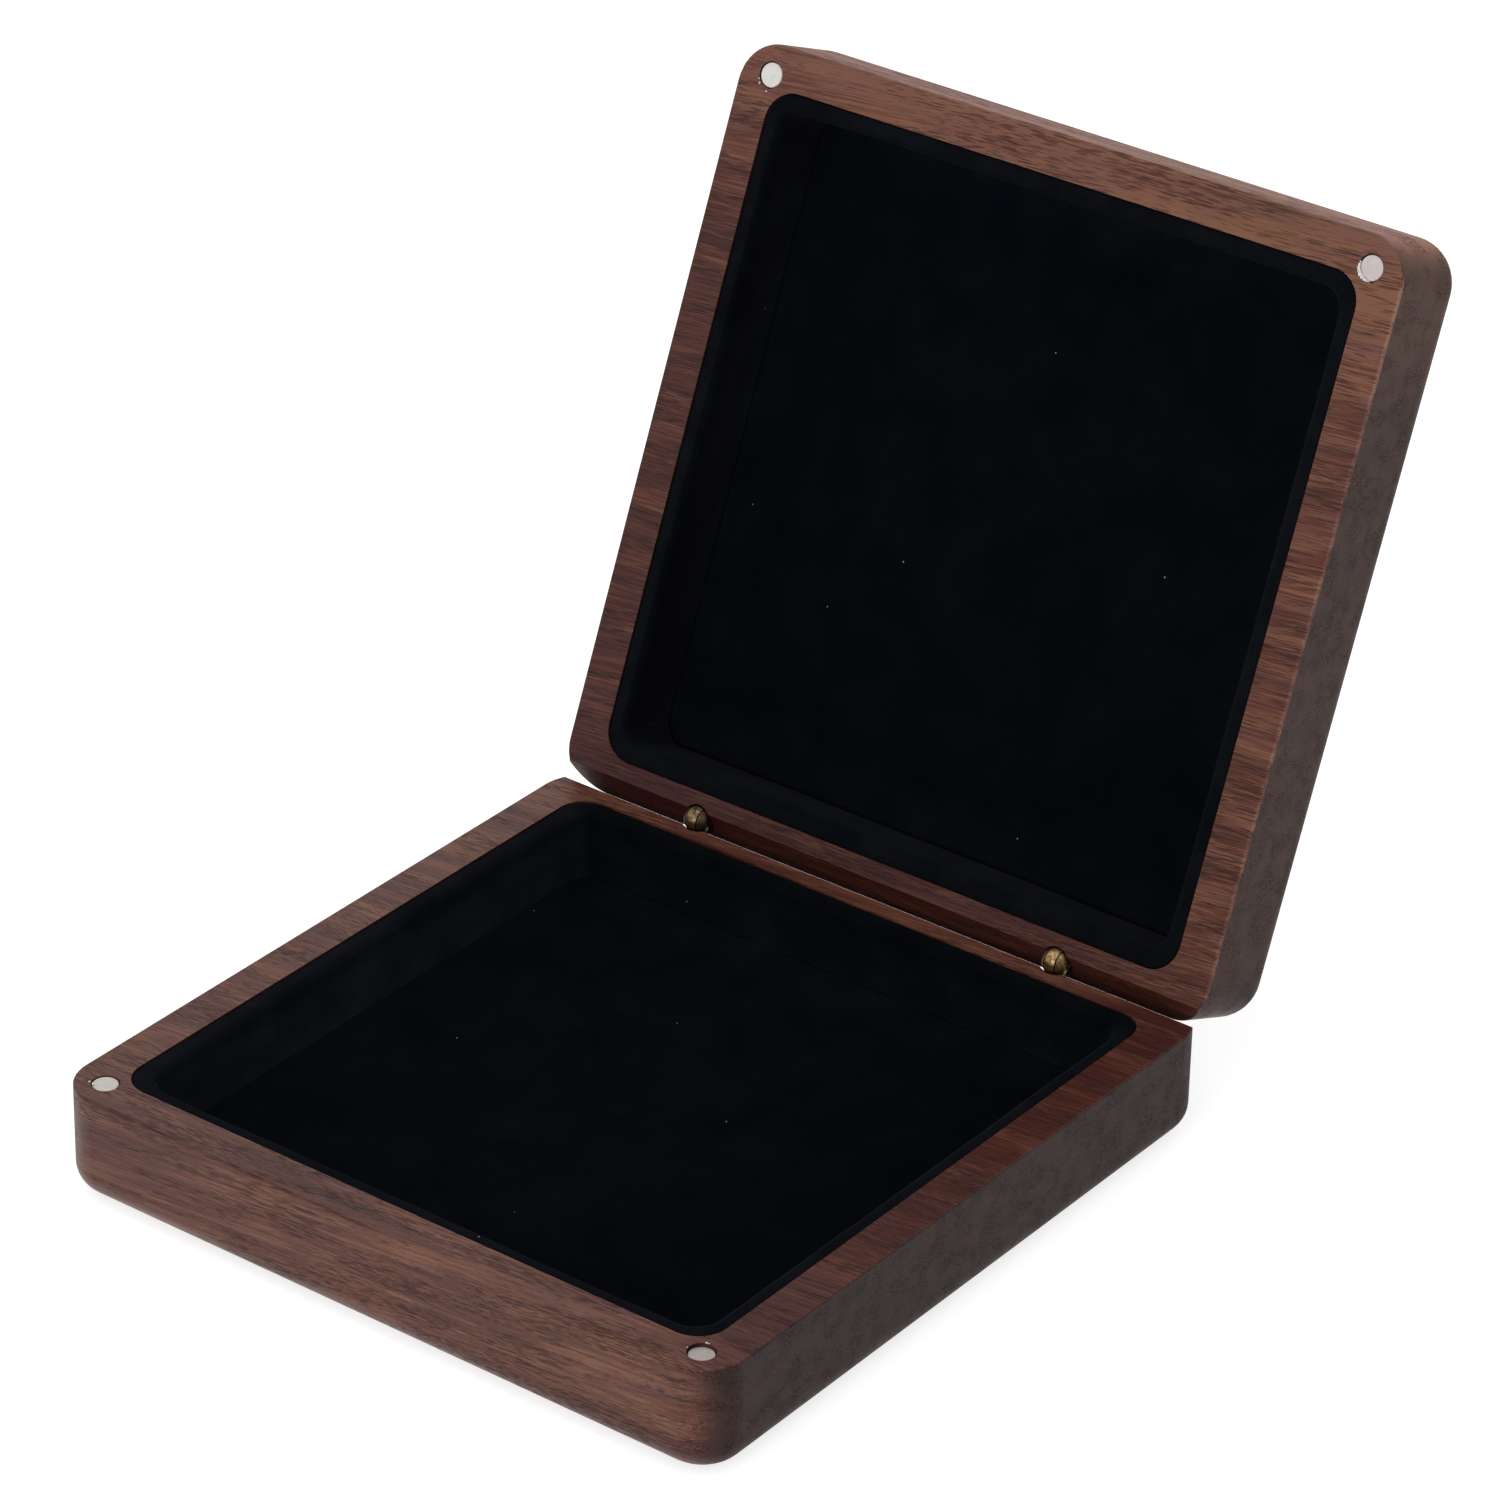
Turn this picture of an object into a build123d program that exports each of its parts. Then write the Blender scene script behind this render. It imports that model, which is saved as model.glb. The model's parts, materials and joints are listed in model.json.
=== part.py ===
from build123d import *
from math import cos, radians, sin, tan
import os

os.makedirs("parts", exist_ok=True)

# Millimetres. X runs along the hinge side, Y from front to back, Z up.
# The origin is at the centre of the base's underside.

# The two walnut halves
box_width = 120.0
box_depth = 120.0
base_height = 17.6
lid_height = 18.4
corner_radius = 7.0
edge_radius = 4.5
rim_width = 6.5
cavity_depth = 14.2
cavity_radius = 5.0
edge_break = 0.35
hinge_chamfer = 3.7

# The pose: the lid stands open, and shuts with a hairline gap
open_angle = 112.5
closed_gap = 0.2

# The barrel hinges
hinge_spacing = 67.4
hinge_setback = 2.3
hinge_rise = 0.9
knuckle_radius = 2.2
shank_radius = 1.6
shank_depth = 9.0
groove_depth = 0.25
groove_width = 0.7
groove_pitch = 1.5
groove_count = 4
tongue_thickness = 1.8
cheek_gap = 0.18
pin_radius = 0.6
pin_length = 4.1
pin_grip = 0.01
pin_play = 0.03
swing_clearance = 0.1
shoulder_relief = 0.35
bore_clearance = 0.05
knuckle_clearance = 0.15

# The magnets let into the front corners
magnet_radius = 2.0
magnet_thickness = 2.5
magnet_edge = 0.15
magnet_inset = 5.0
magnet_advance = 0.8
pocket_clearance = 0.12
base_left_recess = 0.1
base_right_recess = 0.45
lid_left_recess = 0.1
lid_right_recess = 0.12

# The velvet lining
lining_thickness = 2.8
lining_recess = 0.4
lining_corner_radius = 4.0
lining_edge_radius = 1.2
lining_clearance = 0.05
board_thickness = 0.8
pad_thickness = 2.0
pad_edge_radius = 1.0
pad_clearance = 0.15

# Places worked out from the sizes above
cavity_width = box_width - 2 * rim_width
cavity_length = box_depth - 2 * rim_width
lining_width = cavity_width - 2 * lining_thickness
lining_length = cavity_length - 2 * lining_thickness
hinge_y = box_depth / 2 - hinge_setback
hinge_z = base_height + hinge_rise
magnet_x = box_width / 2 - rim_width / 2 - magnet_inset / 2
magnet_y = -(box_depth / 2 - rim_width / 2 - magnet_inset / 2 + magnet_advance)
shoulder_angle = (180.0 - open_angle) / 2 - shoulder_relief

# A rim plane lies on the sawn face of each half, its normal pointing out of the wood.
# The lid's is the shut lid's rim swung back about the hinge line.
base_rim = Plane.XY.offset(base_height)
swing = radians(open_angle)
lid_up = Vector(0, sin(swing), cos(swing))
lid_back = Vector(0, cos(swing), -sin(swing))
hinge_centre = Vector(0, hinge_y, hinge_z)
lid_axis_rise = closed_gap - hinge_rise
lid_rim = Plane(hinge_centre + lid_up * lid_axis_rise - lid_back * hinge_y, x_dir=(-1, 0, 0), z_dir=-lid_up)


def wooden_half(rim, height, axis_rise, recesses):
    """One half of the box, milled from a solid block: rim is its sawn face."""
    with BuildPart() as half:
        with BuildSketch(rim.offset(-height)):
            RectangleRounded(box_width, box_depth, corner_radius)
        extrude(amount=height)
        faces = half.faces().sort_by(Axis(rim.origin, rim.z_dir))
        fillet(faces[0].edges(), radius=edge_radius)
        fillet(faces[-1].edges(), radius=edge_break)

        # The lining's bed
        with BuildSketch(rim):
            RectangleRounded(cavity_width, cavity_length, cavity_radius)
        extrude(amount=-cavity_depth, mode=Mode.SUBTRACT)

        # The bevel along the hinge side, which lets the lid swing past upright
        with BuildSketch(Plane(rim.origin, x_dir=rim.y_dir, z_dir=rim.x_dir)):
            with Locations((box_depth / 2, 0)):
                Rectangle(2 ** 0.5 * hinge_chamfer, 2 ** 0.5 * hinge_chamfer, rotation=45)
        extrude(amount=box_width / 2, both=True, mode=Mode.SUBTRACT)

        # The stepped bores for the hinge barrels
        knuckle_room = knuckle_radius + knuckle_clearance
        with Locations(rim):
            with Locations((-hinge_spacing / 2, hinge_y), (hinge_spacing / 2, hinge_y)):
                CounterBoreHole(
                    radius=shank_radius + bore_clearance,
                    counter_bore_radius=knuckle_room,
                    counter_bore_depth=knuckle_room - axis_rise,
                    depth=shank_depth + bore_clearance - axis_rise,
                )

        # The flat-bottomed magnet pockets
        for side, recess in recesses.items():
            with BuildSketch(rim):
                with Locations((side * magnet_x, magnet_y)):
                    Circle(magnet_radius + pocket_clearance)
            extrude(amount=-(magnet_thickness + recess), mode=Mode.SUBTRACT)
    return half


def magnet(rim, side, recess):
    """A disc magnet on the floor of its pocket."""
    with BuildPart() as disc:
        with BuildSketch(rim.offset(-recess)):
            with Locations((side * magnet_x, magnet_y)):
                Circle(magnet_radius)
        extrude(amount=-magnet_thickness)
        chamfer(disc.edges(), length=magnet_edge)
    return disc


def lining_wall(rim):
    """The padded strip that runs round the walls, from the wooden floor to just below the rim."""
    with BuildPart() as strip:
        with BuildSketch(rim.offset(-cavity_depth)):
            RectangleRounded(
                cavity_width - 2 * lining_clearance,
                cavity_length - 2 * lining_clearance,
                cavity_radius - lining_clearance,
            )
            RectangleRounded(lining_width, lining_length, lining_corner_radius, mode=Mode.SUBTRACT)
        extrude(amount=cavity_depth - lining_recess)
        top = strip.faces().sort_by(Axis(rim.origin, rim.z_dir))[-1]
        fillet(top.inner_wires()[0].edges(), radius=lining_edge_radius)
    return strip


def floor_sheet(rim, start, thickness, rounding):
    """A sheet cut to drop inside the wall strip: start is its height over the wooden floor."""
    with BuildPart() as sheet:
        with BuildSketch(rim.offset(start - cavity_depth)):
            RectangleRounded(
                lining_width - 2 * pad_clearance,
                lining_length - 2 * pad_clearance,
                lining_corner_radius - pad_clearance,
            )
        extrude(amount=thickness)
        if rounding:
            fillet(sheet.faces().sort_by(Axis(rim.origin, rim.z_dir))[-1].edges(), radius=rounding)
    return sheet


def seat_planes(rim, side, axis_rise):
    """Planes at the middle of a hinge pin: facing out of the wood, and square to the pin."""
    centre = rim.from_local_coords((side * hinge_spacing / 2, hinge_y, axis_rise))
    seat = Plane(centre, x_dir=rim.x_dir, z_dir=rim.z_dir)
    return seat, Plane(centre, x_dir=rim.y_dir, z_dir=rim.x_dir)


def shank(seat):
    """The grooved cylinder that is glued into the wood, from the pin's height down."""
    with BuildSketch(Plane(seat.origin, x_dir=seat.x_dir, z_dir=-seat.y_dir)) as profile:
        with Locations((shank_radius / 2, -shank_depth / 2)):
            Rectangle(shank_radius, shank_depth)
        first_groove = shank_depth - groove_pitch
        for turn in range(groove_count):
            with Locations((shank_radius - groove_depth / 2, turn * groove_pitch - first_groove)):
                Rectangle(groove_depth, groove_width, mode=Mode.SUBTRACT)
    revolve(profile.sketch, axis=Axis(seat.origin, seat.z_dir))


def cut_shoulder(side_plane):
    """Relieves the shank's back, so that the two shanks meet as the lid reaches its stop."""
    reach = 2 * shank_radius
    fall = radians(shoulder_angle)
    with BuildSketch(side_plane) as wedge:
        with BuildLine():
            Polyline((0, 0), (reach * tan(fall), -reach), (2 * reach, -reach), (2 * reach, 0), close=True)
        make_face()
    extrude(wedge.sketch, amount=shank_radius, both=True, mode=Mode.SUBTRACT)


def fork_barrel(rim, side, axis_rise):
    """The forked half of a hinge: a ball slotted for the tongue, on a grooved shank."""
    seat, side_plane = seat_planes(rim, side, axis_rise)
    with BuildPart() as barrel:
        shank(seat)
        cut_shoulder(side_plane)
        with Locations(seat):
            Sphere(knuckle_radius)
        with BuildSketch(side_plane):
            Circle(knuckle_radius + swing_clearance)
        extrude(amount=tongue_thickness / 2 + cheek_gap, both=True, mode=Mode.SUBTRACT)
        with BuildSketch(side_plane):
            Circle(pin_radius + pin_grip)
        extrude(amount=knuckle_radius, both=True, mode=Mode.SUBTRACT)
    return barrel


def tongue_barrel(rim, side, axis_rise):
    """The tongued half of a hinge: a slice of the same ball, on a grooved shank."""
    seat, side_plane = seat_planes(rim, side, axis_rise)
    half_tongue = tongue_thickness / 2
    half_web = (shank_radius ** 2 - half_tongue ** 2) ** 0.5
    cheek = (knuckle_radius ** 2 - half_tongue ** 2) ** 0.5
    with BuildPart() as barrel:
        shank(seat)
        with Locations(seat):
            Sphere(knuckle_radius + swing_clearance, mode=Mode.SUBTRACT)
        with BuildSketch(side_plane):
            with Locations((0, -knuckle_radius)):
                Rectangle(2 * half_web, knuckle_radius)
        extrude(amount=half_tongue, both=True)
        cut_shoulder(side_plane)
        with BuildSketch(seat):
            with BuildLine():
                Polyline((-half_tongue, cheek), (-half_tongue, 0), (half_tongue, 0), (half_tongue, cheek))
                ThreePointArc((half_tongue, cheek), (0, knuckle_radius), (-half_tongue, cheek))
            make_face()
        revolve(axis=Axis(seat.origin, seat.x_dir))
        with BuildSketch(side_plane):
            Circle(pin_radius + pin_play)
        extrude(amount=knuckle_radius, both=True, mode=Mode.SUBTRACT)
    return barrel


def hinge_pin(rim, side, axis_rise):
    """The cross pin, held by the fork's cheeks and free in the tongue."""
    side_plane = seat_planes(rim, side, axis_rise)[1]
    with BuildPart() as pin:
        with BuildSketch(side_plane):
            Circle(pin_radius)
        extrude(amount=pin_length / 2, both=True)
    return pin


# Left and right are seen from the front. The lid's rim plane is turned over, so its sides swap.
LEFT, RIGHT = -1, 1

pieces = {
    "base_shell": wooden_half(
        base_rim, base_height, hinge_rise, {LEFT: base_left_recess, RIGHT: base_right_recess}
    ),
    "lid_shell": wooden_half(
        lid_rim, lid_height, lid_axis_rise, {-LEFT: lid_left_recess, -RIGHT: lid_right_recess}
    ),
    "base_left_magnet": magnet(base_rim, LEFT, base_left_recess),
    "base_right_magnet": magnet(base_rim, RIGHT, base_right_recess),
    "lid_left_magnet": magnet(lid_rim, -LEFT, lid_left_recess),
    "lid_right_magnet": magnet(lid_rim, -RIGHT, lid_right_recess),
}
for half_name, rim in {"base": base_rim, "lid": lid_rim}.items():
    pieces[half_name + "_wall_lining"] = lining_wall(rim)
    pieces[half_name + "_floor_board"] = floor_sheet(rim, 0, board_thickness, 0)
    pieces[half_name + "_floor_pad"] = floor_sheet(rim, board_thickness, pad_thickness, pad_edge_radius)
for side_name, side in {"left": LEFT, "right": RIGHT}.items():
    pieces[side_name + "_hinge_fork"] = fork_barrel(base_rim, side, hinge_rise)
    pieces[side_name + "_hinge_tongue"] = tongue_barrel(lid_rim, -side, lid_axis_rise)
    pieces[side_name + "_hinge_pin"] = hinge_pin(base_rim, side, hinge_rise)

for name, piece in pieces.items():
    piece.part.label = name
    export_step(piece.part, "parts/" + name + ".step")
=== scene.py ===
import bmesh
import bpy
import json
from functools import partial
from math import cos, pi, radians, sin, tanh
from mathutils import Matrix, Vector, noise


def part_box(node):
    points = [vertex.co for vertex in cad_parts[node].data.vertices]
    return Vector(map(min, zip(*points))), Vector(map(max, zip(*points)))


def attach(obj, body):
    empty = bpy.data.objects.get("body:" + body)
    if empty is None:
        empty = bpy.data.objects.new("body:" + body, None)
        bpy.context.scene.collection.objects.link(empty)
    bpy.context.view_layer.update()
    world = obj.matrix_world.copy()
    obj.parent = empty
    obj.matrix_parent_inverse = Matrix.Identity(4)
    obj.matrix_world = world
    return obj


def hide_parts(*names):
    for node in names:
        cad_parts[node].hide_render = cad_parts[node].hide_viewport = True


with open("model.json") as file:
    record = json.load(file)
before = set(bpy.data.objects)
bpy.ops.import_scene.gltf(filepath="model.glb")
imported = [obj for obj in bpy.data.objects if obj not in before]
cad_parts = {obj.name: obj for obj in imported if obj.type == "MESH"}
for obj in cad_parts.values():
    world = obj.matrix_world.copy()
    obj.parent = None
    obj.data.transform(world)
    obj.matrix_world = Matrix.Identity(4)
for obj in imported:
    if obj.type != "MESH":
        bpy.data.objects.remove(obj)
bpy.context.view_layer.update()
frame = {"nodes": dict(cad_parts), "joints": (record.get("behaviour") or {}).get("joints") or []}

scene = bpy.context.scene

# The camera stands to the right and in front of the box, about a metre away, and looks down on it.
# It is a long lens on a square frame, held about a degree off level.
camera_place = Vector((0.50731, -0.65180, 0.53231))
camera_aim = Vector((-0.00583, 0.03348, 0.05117))
camera_roll = radians(1.11)
camera_lens = 160.4
sensor_width = 36
nearest_seen = 0.05
furthest_seen = 20
camera = bpy.data.objects.new("camera", bpy.data.cameras.new("camera"))
scene.collection.objects.link(camera)
scene.camera = camera
camera.data.lens = camera_lens
camera.data.sensor_width = sensor_width
camera.data.clip_start = nearest_seen
camera.data.clip_end = furthest_seen
camera.rotation_mode = "QUATERNION"
camera.location = camera_place
level_view = (camera_aim - camera_place).to_track_quat("-Z", "Y")
camera.rotation_quaternion = level_view @ Matrix.Rotation(camera_roll, 3, "Z").to_quaternion()

# The floor is a light table, a wide sheet of white acrylic with a little light coming up through it.
# The room is a pale tent, brightest behind the box to the left, with a soft window above and in front.
floor_size = 6.0
floor_drop = 0.00002
acrylic_white = (0.45, 0.45, 0.45, 1)
acrylic_shade = (0.43, 0.43, 0.435, 1)
mottle_size = (50, 50, 50)
plain_white = (1, 1, 1, 1)
table_glow = 0.74
room_brightest = (-0.45, 0.75, 0.30)
room_fade = (-0.8, 0.2)
room_dim = 0.45
room_bright = 0.95
window_lights = {
    "top_window": ((-0.20, -0.20, 1.40), 1.00, 3.0),
    "front_window": ((0.10, -1.35, 0.60), 0.70, 4.5),
}


def node(tree, kind, inputs=(), **settings):
    """Adds a shader node, sets it, and joins or fills its inputs."""
    made = tree.nodes.new("ShaderNode" + kind)
    for name, value in settings.items():
        setattr(made, name, value)
    for name, value in dict(inputs).items():
        if isinstance(value, bpy.types.NodeSocket):
            tree.links.new(value, made.inputs[name])
        else:
            made.inputs[name].default_value = value
    return made


def number(tree, operation, *values):
    """One step of arithmetic."""
    return node(tree, "Math", dict(enumerate(values)), operation=operation).outputs[0]


def vector(tree, operation, first, second, name="Vector"):
    """One step of arithmetic with places or directions."""
    return node(tree, "VectorMath", {0: first, 1: second}, operation=operation).outputs[name]


def scaled(tree, place, sizes):
    """The place, shrunk so that one unit is the given size on each axis."""
    return vector(tree, "MULTIPLY", place, [1.0 / size for size in sizes])


def new_finish(name):
    """An empty material, its nodes, and the places on the piece, counted in millimetres."""
    finish = bpy.data.materials.new(name)
    finish.use_nodes = True
    tree = finish.node_tree
    tree.nodes.clear()
    return finish, tree, scaled(tree, node(tree, "TexCoord").outputs["Object"], (0.001, 0.001, 0.001))


def cover(tree, inputs):
    """Ends the material in a surface with the given colour, roughness and the like."""
    surface = node(tree, "BsdfPrincipled", inputs)
    node(tree, "OutputMaterial", {"Surface": surface.outputs[0]})


def cloudy(tree, place, sizes, detail=3.0, roughness=0.55, name="Fac"):
    """Soft random variation whose blots have the given sizes."""
    inputs = {"Vector": scaled(tree, place, sizes), "Scale": 1.0, "Detail": detail, "Roughness": roughness}
    return node(tree, "TexNoise", inputs).outputs[name]


def between(tree, value, low, high, to_low=0.0, to_high=1.0):
    """Turns the stretch from low to high into to_low to to_high, with a soft start and end."""
    inputs = {"Value": value, "From Min": low, "From Max": high, "To Min": to_low, "To Max": to_high}
    return node(tree, "MapRange", inputs, interpolation_type="SMOOTHSTEP").outputs[0]


def blended(tree, share, first, second, kind="MIX"):
    """Mixes two colours."""
    made = node(tree, "Mix", {0: share, 6: first, 7: second}, data_type="RGBA", blend_type=kind)
    return made.outputs[2]


def placed(name, mesh, finish):
    """Turns a finished mesh into a piece of the scene."""
    piece = bpy.data.objects.new(name, bpy.data.meshes.new(name))
    mesh.to_mesh(piece.data)
    mesh.free()
    piece.data.materials.append(finish)
    scene.collection.objects.link(piece)
    return piece


acrylic, tree, place = new_finish("white_acrylic")
inputs = {
    "Base Color": blended(tree, cloudy(tree, place, mottle_size, 2.0), acrylic_white, acrylic_shade),
    "Roughness": 0.9,
    "Emission Color": plain_white,
    "Emission Strength": table_glow,
}
cover(tree, inputs)
mesh = bmesh.new()
bmesh.ops.create_grid(mesh, x_segments=1, y_segments=1, size=floor_size / 2)
bmesh.ops.translate(mesh, vec=(0, 0, -floor_drop), verts=mesh.verts)
floor = placed("floor", mesh, acrylic)

scene.world = bpy.data.worlds.new("white_room")
scene.world.use_nodes = True
tree = scene.world.node_tree
tree.nodes.clear()
direction = node(tree, "TexCoord").outputs["Generated"]
towards = vector(tree, "DOT_PRODUCT", direction, room_brightest, "Value")
glow = between(tree, towards, *room_fade, room_dim, room_bright)
tent = node(tree, "Background", {"Color": plain_white, "Strength": glow})
node(tree, "OutputWorld", {"Surface": tent.outputs[0]})
for name, (place, size, power) in window_lights.items():
    light = bpy.data.objects.new(name, bpy.data.lights.new(name, "AREA"))
    light.data.shape = "SQUARE"
    light.data.size = size
    light.data.energy = power
    light.location = place
    light.rotation_mode = "QUATERNION"
    light.rotation_quaternion = (camera_aim - Vector(place)).to_track_quat("-Z", "Y")
    scene.collection.objects.link(light)
scene.view_settings.view_transform = "Standard"

# The two halves are solid walnut, each milled from one block with the grain from left to right.
# The wood is sanded fine and oiled. The pattern runs through the block, so the ends show end grain.
hinge = Vector(frame["joints"][0]["pos_m"])
open_angle = radians(frame["joints"][0]["range_deg"][1])
walnut_dark = (0.044, 0.010, 0.008, 1)
walnut_brown = (0.087, 0.028, 0.0185, 1)
walnut_light = (0.160, 0.068, 0.044, 1)
dark_tone = 0.10
brown_tone = 0.50
light_tone = 0.95
golden_tint = (1.13, 1.12, 0.96, 1)
purple_tint = (0.98, 0.94, 1.01, 1)
smoke_tint = (0.82, 0.92, 0.78, 1)
pore_tint = (0.45, 0.33, 0.30, 1)
end_grain_tint = (0.31, 0.29, 0.28, 1)
front_pale_tint = (1.48, 1.72, 2.00, 1)
edge_highlight_tint = (1.32, 1.62, 1.90, 1)
bends = [((90, 24, 24), (0, 5, 5)), ((20, 5, 5), (0, 0.35, 0.35))]
ring_width = 7.0
ring_drift = 2.0
ring_depth = -0.16
patch_size = (26, 3.6, 3.6)
streak_size = (26, 0.52, 2.2)
fibre_size = (8, 0.21, 0.6)
patch_strength = 0.7
streak_strength = 1.15
fibre_strength = 1.45
end_softening = -0.65
edge_highlight_band = (59.45, 59.75)
pore_cell = (5.6, 0.27, 0.27)
fine_pore = 0.16
coarse_pore = 0.43
pore_depth = 0.00005
oiled_roughness = (0.30, 0.42)
end_roughness = 0.24
front_roughness = 0.27
pore_roughness = 0.20


def bumpy(tree, height, strength, depth):
    """The surface's direction where it follows the given height."""
    return node(tree, "Bump", {"Strength": strength, "Distance": depth, "Height": height}).outputs[0]


def walnut(name, turn, slant, shift, pith, middle, pale_side, tone_and_shade_blots, rim_up, front_pale_and_highlight):
    """Oiled walnut. turn lays the board flat, slant tips its grain, shift picks its place in the tree.

    Its rings run round the pith. Its tone is middle, and grows paler to the right by pale_side a millimetre.
    Each blot fades in from one place to another on X and on Y, and makes the wood there paler or darker, as
    tone or as painted shade.
    rim_up is the way the rim faces. The last argument sets how far the half's front face is made paler,
    greyer and matt, and how strong a painted highlight lies along the outer edge of its right rim.
    """
    finish, tree, place = new_finish(name)
    looks = node(tree, "TexCoord").outputs["Normal"]
    flat = node(tree, "Mapping", {"Vector": place, "Rotation": (turn, 0, 0)}).outputs[0]
    inputs = {"Vector": flat, "Location": shift, "Rotation": (0, slant[0], slant[1])}
    board = node(tree, "Mapping", inputs).outputs[0]

    # The fibres wander a little from straight, in long bends and short ripples
    wood = board
    for size, reach in bends:
        sway = vector(tree, "SUBTRACT", cloudy(tree, board, size, 0.0, name="Color"), (0.5, 0.5, 0.5))
        wood = vector(tree, "ADD", wood, vector(tree, "MULTIPLY", sway, reach))

    # Growth rings round the pith, a slow rise and a quick fall in tone
    radius = vector(tree, "DISTANCE", vector(tree, "MULTIPLY", wood, (0, 1, 1)), pith, "Value")
    uneven = number(tree, "MULTIPLY", cloudy(tree, wood, (200, 12, 12), 1.0), ring_drift)
    phase = number(tree, "FRACT", number(tree, "MULTIPLY_ADD", radius, 1 / ring_width, uneven))
    ring = number(tree, "SUBTRACT", between(tree, phase, 0.0, 0.75), between(tree, phase, 0.78, 1.0))

    # Tone along the fibres, from soft patches to single fibres. The layers lie flat under the rim and
    # upright behind the front, so they show as long lines on both
    upward = vector(tree, "DOT_PRODUCT", looks, rim_up, "Value")
    lying = between(tree, number(tree, "ABSOLUTE", upward), 0.5, 0.9)
    layers = []
    for (length, thin, wide), detail, roughness in ((streak_size, 3.0, 0.6), (fibre_size, 2.0, 0.65)):
        upright = cloudy(tree, wood, (length, wide, thin), detail, roughness)
        level = cloudy(tree, wood, (length, thin, wide), detail, roughness)
        turned = number(tree, "SUBTRACT", level, upright)
        layers.append(number(tree, "MULTIPLY_ADD", lying, turned, upright))
    streak, fibre = layers
    patch = cloudy(tree, wood, patch_size, 2.0)
    grain = 0.0
    for layer, strength in ((patch, patch_strength), (streak, streak_strength), (fibre, fibre_strength)):
        grain = number(tree, "MULTIPLY_ADD", number(tree, "SUBTRACT", layer, 0.5), strength, grain)

    # The painted highlight along the outer edge keeps the figure of the face, and the ends show a flatter
    # one
    side = node(tree, "SeparateXYZ", {0: flat})
    outer = between(tree, side.outputs["X"], *edge_highlight_band, 0.0, front_pale_and_highlight)
    edge = number(tree, "MULTIPLY", between(tree, upward, 0.02, 0.20), outer)
    sideways = number(tree, "ABSOLUTE", node(tree, "SeparateXYZ", {0: looks}).outputs["X"])
    off_edge_highlight = number(tree, "SUBTRACT", 1.0, edge)
    end_share = number(tree, "MULTIPLY", between(tree, sideways, 0.30, 1.0), off_edge_highlight)
    grain = number(tree, "MULTIPLY", grain, number(tree, "MULTIPLY_ADD", end_share, end_softening, 1.0))

    # The tone picks the brown, and slow drifts tint it golden, purple or smoky
    tone = number(tree, "ADD", grain, middle)
    tone = number(tree, "MULTIPLY_ADD", number(tree, "SUBTRACT", ring, 0.5), ring_depth, tone)
    tone = number(tree, "MULTIPLY_ADD", side.outputs["X"], pale_side, tone)
    # Blots pale or darken given places, some as tone and some as painted shade
    for x_from, x_to, y_from, y_to, strength in tone_and_shade_blots:
        along = between(tree, side.outputs["X"], x_from, x_to)
        inside = number(tree, "MULTIPLY", along, between(tree, side.outputs["Y"], y_from, y_to))
        tone = number(tree, "MULTIPLY_ADD", inside, strength, tone)
    ramp = node(tree, "ValToRGB", {"Fac": tone})
    ramp.color_ramp.elements[0].position = dark_tone
    ramp.color_ramp.elements[0].color = walnut_dark
    ramp.color_ramp.elements[1].position = light_tone
    ramp.color_ramp.elements[1].color = walnut_light
    ramp.color_ramp.elements.new(brown_tone).color = walnut_brown
    warmth = cloudy(tree, wood, (20, 3.6, 3.6), 2.0)
    warmth = number(tree, "MULTIPLY_ADD", side.outputs["X"], pale_side, warmth)
    tint = blended(tree, between(tree, warmth, 0.38, 0.66), purple_tint, golden_tint)
    colour = blended(tree, 1.0, ramp.outputs[0], tint, "MULTIPLY")
    smoke = between(tree, cloudy(tree, wood, (13, 1.9, 1.9), 2.0), 0.55, 0.72)
    colour = blended(tree, smoke, colour, smoke_tint, "MULTIPLY")

    # Open pores, cut along on the faces and across on the ends
    crowding = cloudy(tree, wood, (30, 3, 3), 2.0)
    size = between(tree, crowding, 0.34, 0.62, fine_pore, coarse_pore)
    pores = 0.0
    for offset in (0.0, 31.0):
        moved = vector(tree, "ADD", wood, (offset, offset, 0))
        cell = node(tree, "TexVoronoi", {"Vector": scaled(tree, moved, pore_cell), "Scale": 1.0})
        margin = number(tree, "SUBTRACT", size, cell.outputs["Distance"])
        pores = number(tree, "MAXIMUM", pores, between(tree, margin, 0.0, 0.10))
    colour = blended(tree, pores, colour, pore_tint, "MULTIPLY")

    # End grain drinks the oil and looks darker and greyer; the front face is made paler, and a painted
    # highlight pales the outer edge
    forward = (0, -cos(turn), sin(turn))
    front = between(tree, vector(tree, "DOT_PRODUCT", looks, forward, "Value"), 0.6, 0.9, 0.0, front_pale_and_highlight)
    colour = blended(tree, end_share, colour, end_grain_tint, "MULTIPLY")
    colour = blended(tree, front, colour, front_pale_tint, "MULTIPLY")
    colour = blended(tree, edge, colour, edge_highlight_tint, "MULTIPLY")
    roughness = between(tree, fibre, 0.3, 0.7, *oiled_roughness)
    roughness = number(tree, "MULTIPLY_ADD", end_share, end_roughness, roughness)
    roughness = number(tree, "MULTIPLY_ADD", front, front_roughness, roughness)
    height = number(tree, "MULTIPLY_ADD", fibre, 0.35, number(tree, "MULTIPLY", pores, -1.0))
    inputs = {
        "Base Color": colour,
        "Roughness": number(tree, "MULTIPLY_ADD", pores, pore_roughness, roughness),
        "Specular IOR Level": 0.24,
        "Normal": bumpy(tree, height, 0.6, pore_depth),
    }
    cover(tree, inputs)
    return finish


base_slant = (radians(4.0), radians(-5.0))
lid_slant = (radians(2.0), radians(3.5))
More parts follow.
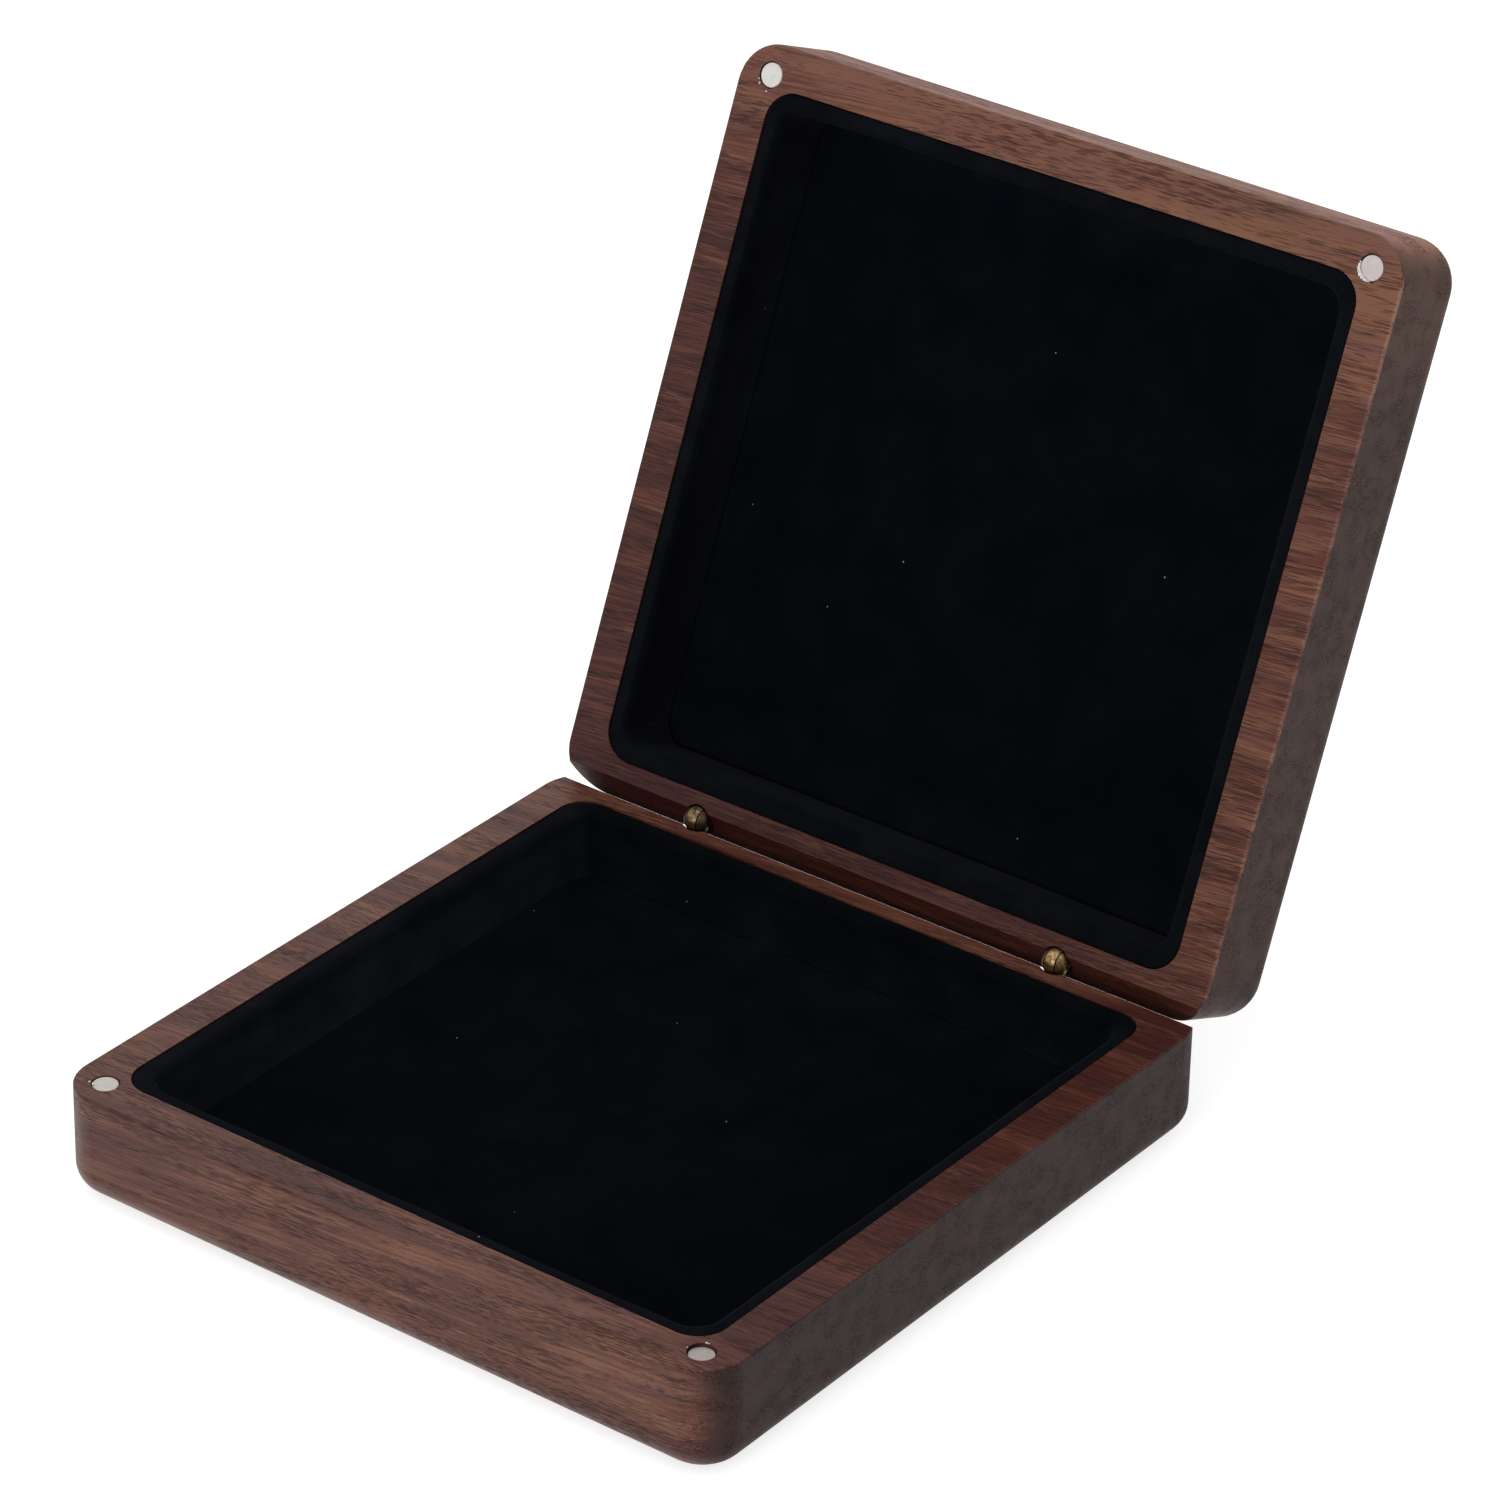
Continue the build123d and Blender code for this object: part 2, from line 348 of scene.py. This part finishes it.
# The base's blot darkens its right rim back from the front corner: painted shade, where the lid shadows it.
# The lid's second blot darkens the strip along its hinge-side edge and chamfer: painted shade. Its first
# pales its top and its third darkens its left edge, as tone.
base_painted_shade = [(44, 55, -62, -48, -0.36)]
lid_tone_and_painted_shade = [(-100, -80, -127, -150, 0.46), (-100, -80, -47, -41, -0.22), (-20, -54, -152, -140, -0.10)]
lid_rim_up = (0, -sin(open_angle), -cos(open_angle))
base_walnut = walnut(
    "base_walnut", 0, base_slant, (11, 40, 7), (0, -30, -95),
    0.525, 0.0003, base_painted_shade, (0, 0, 1), 0.0,
)
lid_walnut = walnut(
    "lid_walnut", open_angle, lid_slant, (130, -60, 45), (0, 40, 120),
    0.465, 0.0013, lid_tone_and_painted_shade, lid_rim_up, 1.0,
)


def dress(name, finish):
    """Gives a CAD piece its finish."""
    frame["nodes"][name].data.materials.clear()
    frame["nodes"][name].data.materials.append(finish)


dress("base_shell", base_walnut)
dress("lid_shell", lid_walnut)

# What is let into a half is made as if the half lay open side up.
# Its rim plane then carries it to its place, and the lid's is turned over and swung open.
closed_gap = 0.0002
base_rim_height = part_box("base_shell")[1].z
base_rim = Matrix.Translation((0, 0, base_rim_height))
shut_rim = Matrix.Translation((0, 0, base_rim_height + closed_gap)) @ Matrix.Rotation(pi, 4, "Y")
lift = Matrix.Translation(hinge) @ Matrix.Rotation(-open_angle, 4, "X") @ Matrix.Translation(-hinge)
rims = {"base": base_rim, "lid": lift @ shut_rim}

# Four disc magnets, nickel plated and pressed into the front corners with a drop of resin glue.
# The plating is satin and a little mottled. Each magnet's plating colour is set to how it is lit: painted
# light, brightest on the lid's left one, and painted shade on the base's right one.
platings_as_lit = {
    "base_left_magnet": ("nickel_base_left_painted_light", (0.60, 0.56, 0.53, 1)),
    "base_right_magnet": ("nickel_base_right_painted_shade", (0.49, 0.44, 0.41, 1)),
    "lid_left_magnet": ("nickel_lid_left_painted_light", (0.75, 0.72, 0.69, 1)),
    "lid_right_magnet": ("nickel_lid_right_painted_light", (0.60, 0.54, 0.53, 1)),
}
stain_share = 0.88
plating_grain = 0.00002


def nickel(name, plating):
    """Satin nickel plating with fine grains and duller stains."""
    finish, tree, place = new_finish(name)
    grains = cloudy(tree, place, (0.35, 0.35, 0.35), 4.0, 0.7)
    stains = cloudy(tree, place, (1.2, 1.2, 1.2), 2.0)
    dullness = number(tree, "MULTIPLY_ADD", stains, 0.6, number(tree, "MULTIPLY", grains, 0.6))
    stained = [channel * stain_share for channel in plating[:3]] + [1]
    inputs = {
        "Base Color": blended(tree, between(tree, dullness, 0.45, 0.8), plating, stained),
        "Metallic": 1.0,
        "Roughness": between(tree, grains, 0.3, 0.7, 0.40, 0.60),
        "Normal": bumpy(tree, grains, 0.5, plating_grain),
    }
    cover(tree, inputs)
    return finish


for magnet, (name, plating) in platings_as_lit.items():
    dress(magnet, nickel(name, plating))

# The resin that holds each magnet has squeezed out in small drops, and at one magnet in a thick smear.
# A drop is given by its way from the magnet's middle, right and towards the hinges, and its radius, in
# millimetres. Each has set as a low, flat bead on the rim.
drop_height = 0.07
resin_clear = (0.42, 0.38, 0.34, 1)
resin_milky = (0.78, 0.74, 0.74, 1)
glue_drops = {
    "base_left_magnet": [
        (-2.10, -1.08, 0.19), (-1.50, -0.90, 0.14), (-1.36, -1.12, 0.20), (-1.18, -1.40, 0.15),
    ],
    "base_right_magnet": [(-0.78, 2.12, 0.17), (-0.42, 2.14, 0.11), (-2.20, -0.38, 0.09)],
    "lid_left_magnet": [(-1.70, 1.68, 0.18), (-0.14, 2.58, 0.14), (-1.98, 1.05, 0.09)],
    "lid_right_magnet": [
        (-1.98, -0.42, 0.15), (-2.02, 0.00, 0.22), (-1.98, 0.45, 0.29), (-1.82, 0.88, 0.31),
        (-1.53, 1.28, 0.34), (-1.12, 1.60, 0.31), (-0.67, 1.83, 0.27), (-0.24, 1.94, 0.22),
        (0.15, 1.95, 0.15),
    ],
}

resin, tree, place = new_finish("milky_resin")
clouds = between(tree, cloudy(tree, place, (0.4, 0.4, 0.4), 3.0), 0.35, 0.6)
cover(tree, {"Base Color": blended(tree, clouds, resin_clear, resin_milky), "Roughness": 0.2})
for half in ("base", "lid"):
    mesh = bmesh.new()
    to_rim = rims[half].inverted()
    rightward = to_rim.to_3x3() @ Vector((1, 0, 0))
    for magnet in (f"{half}_left_magnet", f"{half}_right_magnet"):
        low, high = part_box(magnet)
        middle = to_rim @ ((Vector(low) + Vector(high)) / 2)
        for right, hingeward, radius in glue_drops[magnet]:
            centre = rightward * right / 1000 + Vector((middle.x, middle.y + hingeward / 1000, 0))
            made = bmesh.ops.create_icosphere(mesh, subdivisions=3, radius=radius / 1000)
            bmesh.ops.scale(mesh, vec=(1, 1, drop_height / radius), verts=made["verts"])
            bmesh.ops.translate(mesh, vec=centre, verts=made["verts"])
    for face in mesh.faces:
        face.smooth = True
    drops = placed(f"{half}_glue_drops", mesh, resin)
    drops.data.transform(rims[half])
    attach(drops, half)

# The wall linings are strips of thin foam wrapped in black velvet and glued round each cavity.
# Their top edge is pressed level just below the rim by the other half, and their face is soft and uneven.
# strip_lit is the black velvet with a painted sheen added, mixed in by the brushed pattern; the strip's pair
# is a little paler than the pad's, painted light on the walls
strip_black = (0.0022, 0.0027, 0.0040, 1)
strip_lit = (0.0044, 0.0050, 0.0065, 1)
lint_white = (0.25, 0.25, 0.27, 1)
pile_depth = 0.0001
half_width = 0.05345
cavity_depth = 0.0142
strip_top = -0.00015
pressed_top = -0.00006
strip_thickness = 0.00275
outer_corner = 0.00495
inner_corner = 0.0040
fold_radius = 0.0012
crown_fall = 0.00005
foot_rise = 0.0001
tuck_radius = 0.0004
strip_cell = 0.0025
swell_frames = 6
swell_smoothing = 4
strip_swell = 0.00022
strip_dimple = 0.00012
strip_dimple_size = 0.011
strip_filling = 0.7
fold_starts = (0.0000, 0.0003)
face_starts = (0.0008, 0.0020)
foot_starts = (0.0050, 0.0130)
side_starts = (0.0485, 0.0507)


def velvet(name, black, lit, sheen):
    """Short black pile with a few specks of lint, and a painted sheen mixed in by an uneven brushed pattern.

    Its lift attribute is painted light where over 1 and painted shade where under 1.
    """
    finish, tree, place = new_finish(name)
    pile = cloudy(tree, place, (0.22, 0.22, 0.22), 3.0, 0.7)
    brushed = cloudy(tree, place, (9, 9, 9), 3.0)
    share = number(tree, "MULTIPLY_ADD", number(tree, "SUBTRACT", brushed, 0.5), 0.9, pile)
    colour = blended(tree, between(tree, share, 0.3, 0.75), black, lit)
    # The lift attribute scales the colour: painted light and painted shade laid on each place
    lift = node(tree, "Attribute", attribute_name="lift").outputs["Fac"]
    colour = node(tree, "VectorMath", {0: colour, "Scale": lift}, operation="SCALE").outputs[0]
    cell = node(tree, "TexVoronoi", {"Vector": scaled(tree, place, (7, 7, 7)), "Scale": 1.0})
    lint = between(tree, cell.outputs["Distance"], 0.022, 0.012)
    inputs = {
        "Base Color": blended(tree, lint, colour, lint_white),
        "Roughness": 1.0,
        "Specular IOR Level": 0.0,
        "Sheen Weight": sheen,
        "Sheen Roughness": 0.45,
        "Normal": bumpy(tree, pile, 0.7, pile_depth),
    }
    cover(tree, inputs)
    return finish


def rounded_loop(mesh, half_size, corner, height):
    """A square loop of edges with rounded corners, as seen from above the rim."""
    made = bmesh.ops.create_grid(mesh, x_segments=1, y_segments=1, size=half_size)
    bmesh.ops.translate(mesh, vec=(0, 0, height), verts=made["verts"])
    made = bmesh.ops.bevel(
        mesh, geom=made["verts"], offset=corner, segments=10, profile=0.5, affect="VERTICES", material=-1
    )
    loop = list({edge for vert in made["verts"] for edge in vert.link_edges})
    faces = list({face for edge in loop for face in edge.link_faces})
    bmesh.ops.delete(mesh, geom=faces, context="FACES_ONLY")
    return loop


def cut_cells(mesh, half_size, cell):
    """Cuts the mesh into cells small enough to bend."""
    cuts = int(2 * half_size / cell)
    for index in range(1, cuts):
        offset = index * 2 * half_size / cuts - half_size
        for normal in ((1, 0, 0), (0, 1, 0)):
            bmesh.ops.bisect_plane(
                mesh, geom=mesh.verts[:] + mesh.edges[:] + mesh.faces[:],
                plane_co=Vector(normal) * offset, plane_no=normal, dist=1e-6,
            )


def eased(value, low, high):
    """Runs softly from 0 at low to 1 at high."""
    share = min(max((value - low) / (high - low), 0.0), 1.0)
    return share * share * (3 - 2 * share)


def foam_piece(name, mesh, finish, painted_light):
    """Turns a mesh into a smooth velvet piece, still at its rim. Its last argument gives each place its
    lift, the painted light or shade stored on the piece.
    """
    bmesh.ops.recalc_face_normals(mesh, faces=mesh.faces)
    for face in mesh.faces:
        face.smooth = True
    layer = mesh.verts.layers.float.new("lift")
    for vert in mesh.verts:
        vert[layer] = painted_light(vert.co)
    return placed(name, mesh, finish)


def puff(piece, held, most):
    """Lets the foam swell under its velvet, by the given distance at most, away from what is glued."""
    rest = [vert.co.copy() for vert in piece.data.vertices]
    glued = [index for index, place in enumerate(rest) if held(place)]
    piece.vertex_groups.new(name="glued").add(glued, 1.0, "REPLACE")
    cloth = piece.modifiers.new("swell", "CLOTH")
    cloth.settings.quality = 5
    cloth.settings.mass = 0.3
    cloth.settings.bending_stiffness = 0.5
    cloth.settings.use_pressure = True
    cloth.settings.uniform_pressure_force = 4
    cloth.settings.vertex_group_mass = "glued"
    cloth.settings.effector_weights.gravity = 0
    cloth.point_cache.frame_start = 1
    cloth.point_cache.frame_end = swell_frames
    for moment in range(1, swell_frames + 1):
        scene.frame_set(moment)
    swollen = piece.evaluated_get(bpy.context.evaluated_depsgraph_get()).data
    facing = [vert.normal.copy() for vert in piece.data.vertices]
    rises = [(vert.co - place).dot(out) for vert, place, out in zip(swollen.vertices, rest, facing)]
    piece.modifiers.clear()
    piece.vertex_groups.clear()
    scene.frame_set(1)
    for _ in range(swell_smoothing):
        sums = list(rises)
        counts = [1] * len(rises)
        for edge in piece.data.edges:
            first, second = edge.vertices
            sums[first] += rises[second]
            sums[second] += rises[first]
            counts[first] += 1
            counts[second] += 1
        rises = [total / count for total, count in zip(sums, counts)]
    free = set(range(len(rest))) - set(glued)
    for index in free:
        piece.data.vertices[index].co = rest[index] + facing[index] * most * tanh(rises[index] / most)


def soften(piece, held, depth, blot):
    """Presses slow, uneven dimples into the velvet."""
    for vert in piece.data.vertices:
        if not held(vert.co):
            vert.co += vert.normal * depth * noise.noise(vert.co / blot)


def fit(piece, half, filling, *nodes):
    """Carries a finished velvet piece to its half of the box."""
    piece.data.transform(rims[half])
    smooth = piece.modifiers.new("smooth", "SUBSURF")
    smooth.levels = smooth.render_levels = 1
    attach(piece, half)
    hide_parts(*nodes)


def strip_glued(place):
    """True where the strip is glued to the wood."""
    at_wall = max(abs(place.x), abs(place.y)) > half_width - tuck_radius / 2
    return at_wall or place.z < tuck_radius - cavity_depth


def strip_painted_light(place, light_by_side):
    """Paints light and shade on the strip: each side has its own lift on top, on its fold, on its face and
    at its foot.
    """
    depth = strip_top - place.z
    total = 0.0
    weights = 0.0
    for (x, y), (crown, fold, face, foot) in light_by_side.items():
        lift = crown + (fold - crown) * eased(depth, *fold_starts)
        lift += (face - fold) * eased(depth, *face_starts)
        lift += (foot - face) * eased(depth, *foot_starts)
        weight = 0.001 + eased(x * place.x + y * place.y, *side_starts)
        total += weight * lift
        weights += weight
    return total / weights


# The strip's section, from the bottom of its glued side up, over its top edge and down its face:
# each point is how far it stands in from the wood, and its height against the rim
section = [(0, -cavity_depth), (0, -cavity_depth / 2)]
for step in range(4):
    turn = radians(30 * step)
    section.append((tuck_radius * (1 - cos(turn)), strip_top - tuck_radius * (1 - sin(turn))))
for step in range(7):
    turn = radians(15 * step)
    inset = strip_thickness - fold_radius * (1 - sin(turn))
    section.append((inset, strip_top - crown_fall - fold_radius * (1 - cos(turn))))
for share in (0.3, 0.5, 0.7, 0.9, 1.0):
    section.append((strip_thickness, foot_rise - cavity_depth * share))

# Each side is given by its way from the middle, with its lift on top, on the fold, face and foot: painted
# light over 1, painted shade under 1
strip_painted_light_by_side = {
    "base": {
        (-1, 0): (1.45, 1.35, 3.10, 4.00),
        (1, 0): (1.05, 1.20, 1.60, 1.90),
        (0, -1): (1.20, 1.20, 1.30, 1.90),
        (0, 1): (0.75, 0.75, 1.25, 1.65),
    },
    "lid": {
        (1, 0): (1.35, 0.85, 1.45, 2.30),
        (-1, 0): (1.25, 1.25, 1.20, 1.90),
        (0, -1): (1.25, 1.20, 1.20, 1.90),
        (0, 1): (1.25, 1.15, 1.20, 1.35),
    },
}
strip_velvet = velvet("strip_velvet", strip_black, strip_lit, 0.015)
for half, light_by_side in strip_painted_light_by_side.items():
    mesh = bmesh.new()
    loops = []
    for inset, height in section:
        corner = outer_corner + (inner_corner - outer_corner) * inset / strip_thickness
        loops.append(rounded_loop(mesh, half_width - inset, corner, height))
    for first, second in zip(loops, loops[1:] + loops[:1]):
        bmesh.ops.bridge_loops(mesh, edges=first + second)
    cut_cells(mesh, half_width, strip_cell)
    strip = foam_piece(f"{half}_velvet_strip", mesh, strip_velvet, partial(strip_painted_light, light_by_side=light_by_side))
    puff(strip, strip_glued, strip_swell)
    soften(strip, strip_glued, strip_dimple, strip_dimple_size)
    for vert in strip.data.vertices:
        vert.co.z = min(vert.co.z, pressed_top)
    fit(strip, half, strip_filling, f"{half}_wall_lining")

# The floor of each half is a card panel with a thin foam pad, wrapped in the same velvet.
# It drops in inside the wall strip, its edges rounded over and its middle a little crowned.
pad_half = 0.05055
pad_corner = 0.00385
pad_edge = 0.0007
pad_bottom = -0.0134
pad_thickness = 0.0020
# pad_lit is the black velvet with a painted sheen added, mixed in by the brushed pattern
pad_black = (0.0018, 0.0023, 0.0037, 1)
pad_lit = (0.0032, 0.0036, 0.0049, 1)
pad_cell = 0.0022
pad_swell = 0.00040
pad_dimple = 0.00010
pad_dimple_size = 0.017
pad_filling = 0.6
pad_grip = 0.0002
# The base's pad gets painted shade towards the right, and the lid's pad painted light along its front,
# against the shade of the crease
pad_painted_shade_and_light = {"base": (0.18, 0.0), "lid": (0.0, 0.40)}
card_brown = (0.33, 0.27, 0.20, 1)
card_pale = (0.46, 0.40, 0.31, 1)
card_grain = 0.00003


def pad_glued(place):
    """True where the pad lies on its card."""
    return place.z < pad_bottom + pad_grip


def pad_painted_light(place, shaded, front_painted_light):
    """Paints light on the pad towards its edges, against the shade of the crease, and along its front by the
    second share; the first share paints shade towards the right.
    """
    furthest = max(abs(place.x), abs(place.y))
    lift = 1 + (0.45 * eased(furthest, 0.0400, 0.0505) + 0.60 * eased(furthest, 0.0493, 0.0502))
    lift += front_painted_light * eased(-place.y, 0.0420, 0.0490)
    return lift * (1 - shaded * eased(place.x, 0.0, 0.0350))


pad_velvet = velvet("pad_velvet", pad_black, pad_lit, 0.006)
for half, (shaded, front_painted_light) in pad_painted_shade_and_light.items():
    mesh = bmesh.new()
    bmesh.ops.create_cube(mesh, size=1.0)
    bmesh.ops.scale(mesh, vec=(2 * pad_half, 2 * pad_half, pad_thickness), verts=mesh.verts)
    bmesh.ops.translate(mesh, vec=(0, 0, pad_bottom + pad_thickness / 2), verts=mesh.verts)
    upright = [
        edge for edge in mesh.edges if abs(edge.verts[0].co.z - edge.verts[1].co.z) > pad_thickness / 2
    ]
    bmesh.ops.bevel(
        mesh, geom=upright, offset=pad_corner, segments=8, profile=0.5, affect="EDGES", material=-1
    )
    top = [face for face in mesh.faces if face.normal.z > 0.5]
    bmesh.ops.bevel(
        mesh, geom=top[0].edges[:], offset=pad_edge, segments=4, profile=0.5, affect="EDGES", material=-1
    )
    cut_cells(mesh, pad_half, pad_cell)
    painted_light = partial(pad_painted_light, shaded=shaded, front_painted_light=front_painted_light)
    pad = foam_piece(f"{half}_velvet_pad", mesh, pad_velvet, painted_light)
    puff(pad, pad_glued, pad_swell)
    soften(pad, pad_glued, pad_dimple, pad_dimple_size)
    fit(pad, half, pad_filling, f"{half}_floor_pad")

card, tree, place = new_finish("grey_card")
flecks = cloudy(tree, place, (0.5, 0.5, 0.5), 4.0, 0.7)
inputs = {
    "Base Color": blended(tree, between(tree, flecks, 0.35, 0.65), card_brown, card_pale),
    "Roughness": 0.9,
    "Normal": bumpy(tree, flecks, 0.4, card_grain),
}
cover(tree, inputs)
for half in ("base", "lid"):
    dress(f"{half}_floor_board", card)

# Two barrel hinges of aged brass, each a forked barrel glued into the base and a tongued one in the lid.
# Their balls show in the groove between the halves: dark with age in the hollows, rubbed gold on top.
# The left fork's dark gold is painted shade, where its cheek stands in shadow and mirrors the dark wood. The
# left hinge is set darker than the right.
brass_golds_and_painted_shade = {
    "left_hinge_fork": (0.15, 0.105, 0.055, 1),
    "left_hinge_tongue": (0.27, 0.19, 0.09, 1),
    "right_hinge_fork": (0.44, 0.30, 0.14, 1),
    "right_hinge_tongue": (0.42, 0.28, 0.12, 1),
}
brass_aged = (0.050, 0.034, 0.020, 1)
scratch_depth = 0.00002


def brass(name, gold):
    """Brass, rubbed to the given gold on top and dark with age in blots."""
    finish, tree, place = new_finish(name)
    tarnish = cloudy(tree, place, (0.9, 0.9, 0.9), 3.0, 0.6)
    scratches = cloudy(tree, place, (0.12, 0.12, 0.6), 2.0)
    rubbed = between(tree, number(tree, "MULTIPLY_ADD", scratches, 0.35, tarnish), 0.45, 0.85)
    inputs = {
        "Base Color": blended(tree, rubbed, brass_aged, gold),
        "Metallic": 1.0,
        "Roughness": between(tree, rubbed, 0.0, 1.0, 0.50, 0.30),
        "Normal": bumpy(tree, scratches, 0.4, scratch_depth),
    }
    cover(tree, inputs)
    return finish


for name, gold in brass_golds_and_painted_shade.items():
    dress(name, brass(name + "_brass", gold))
for side in ("left", "right"):
    dress(f"{side}_hinge_pin", frame["nodes"][f"{side}_hinge_fork"].data.materials[0])
